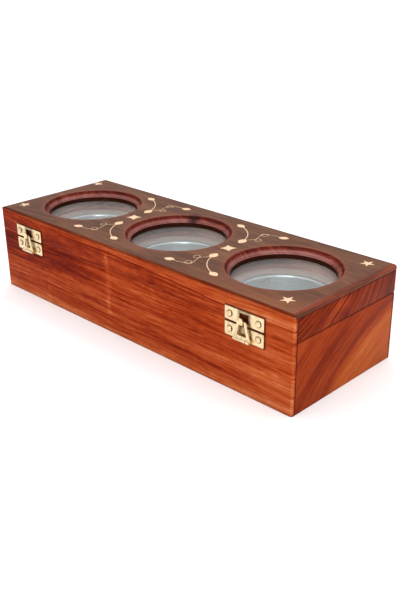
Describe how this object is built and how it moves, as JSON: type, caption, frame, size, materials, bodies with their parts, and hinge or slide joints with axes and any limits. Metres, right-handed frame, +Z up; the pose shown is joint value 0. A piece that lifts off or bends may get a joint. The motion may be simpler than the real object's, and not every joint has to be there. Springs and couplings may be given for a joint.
{
  "type": "spice box",
  "caption": "Long hinged wooden spice box with a row of round windows over steel bowls, brass inlay and two brass hook clasps.",
  "frame": {"origin": "middle of the underside, on the surface that the box stands on", "axes": "+X along the length to the right when the clasps face the viewer, +Y to the hinges at the back, +Z up"},
  "size_m": [0.305, 0.1159, 0.069],
  "materials": {
    "rosewood": "orange-red oiled sheesham with dark grain, satin polish",
    "rosewood_top": "brown sheesham, satin polish",
    "inner_wood": "unpolished rosewood",
    "brass": "pressed sheet brass, bright with light tarnish",
    "inlay_brass": "flush brass inlay, sanded level",
    "steel": "polished stainless steel sheet",
    "acrylic": "clear sheet, lightly scuffed"
  },
  "bodies": {
    "box": {"box_front": "rosewood", "box_back": "rosewood", "box_end_left": "rosewood", "box_end_right": "rosewood", "box_bottom": "inner_wood", "bowl_holder": "inner_wood", "partition_left": "inner_wood", "partition_right": "inner_wood", "left_clasp_box_plate": "brass", "left_clasp_pin": "brass", "left_clasp_box_nail_left": "brass", "left_clasp_box_nail_right": "brass", "right_clasp_box_plate": "brass", "right_clasp_pin": "brass", "right_clasp_box_nail_left": "brass", "right_clasp_box_nail_right": "brass", "left_hinge_box_leaf": "brass", "left_hinge_pin": "brass", "left_hinge_box_nail_left": "brass", "left_hinge_box_nail_right": "brass", "right_hinge_box_leaf": "brass", "right_hinge_pin": "brass", "right_hinge_box_nail_left": "brass", "right_hinge_box_nail_right": "brass"},
    "lid": {"lid_front_rail": "rosewood", "lid_back_rail": "rosewood", "lid_end_rail_left": "rosewood", "lid_end_rail_right": "rosewood", "lid_top": "rosewood_top", "pane_left": "acrylic", "pane_middle": "acrylic", "pane_right": "acrylic", "inlay_star_back_left": "inlay_brass", "inlay_star_front_left": "inlay_brass", "inlay_star_back_right": "inlay_brass", "inlay_star_front_right": "inlay_brass", "inlay_diamond_left": "inlay_brass", "inlay_diamond_right": "inlay_brass", "inlay_sprig_left_back": "inlay_brass", "inlay_sprig_left_front": "inlay_brass", "inlay_sprig_right_back": "inlay_brass", "inlay_sprig_right_front": "inlay_brass", "left_clasp_hook_plate": "brass", "left_clasp_lid_nail_left": "brass", "left_clasp_lid_nail_right": "brass", "right_clasp_hook_plate": "brass", "right_clasp_lid_nail_left": "brass", "right_clasp_lid_nail_right": "brass", "left_hinge_lid_leaf": "brass", "left_hinge_lid_nail_left": "brass", "left_hinge_lid_nail_right": "brass", "right_hinge_lid_leaf": "brass", "right_hinge_lid_nail_left": "brass", "right_hinge_lid_nail_right": "brass"},
    "left_tongue": {"left_clasp_tongue": "brass"},
    "right_tongue": {"right_clasp_tongue": "brass"},
    "left_bowl": {"bowl_left": "steel"},
    "middle_bowl": {"bowl_middle": "steel"},
    "right_bowl": {"bowl_right": "steel"}
  },
  "joints": [
    {"name": "lid_hinge", "type": "hinge", "parent": "box", "child": "lid", "pos_m": [0, 0.05475, 0.0495], "axis": [-1, 0, 0], "range_deg": [0, 110]},
    {"name": "left_tongue_pivot", "type": "hinge", "parent": "box", "child": "left_tongue", "pos_m": [-0.114, -0.0569, 0.0407], "axis": [1, 0, 0], "range_deg": [0, 170]},
    {"name": "right_tongue_pivot", "type": "hinge", "parent": "box", "child": "right_tongue", "pos_m": [0.114, -0.0569, 0.0407], "axis": [1, 0, 0], "range_deg": [0, 170]},
    {"name": "left_bowl_lift", "type": "slide", "parent": "box", "child": "left_bowl", "axis": [0, 0, 1], "range_m": [0, 0.0095]},
    {"name": "middle_bowl_lift", "type": "slide", "parent": "box", "child": "middle_bowl", "axis": [0, 0, 1], "range_m": [0, 0.0095]},
    {"name": "right_bowl_lift", "type": "slide", "parent": "box", "child": "right_bowl", "axis": [0, 0, 1], "range_m": [0, 0.0095]}
  ]
}
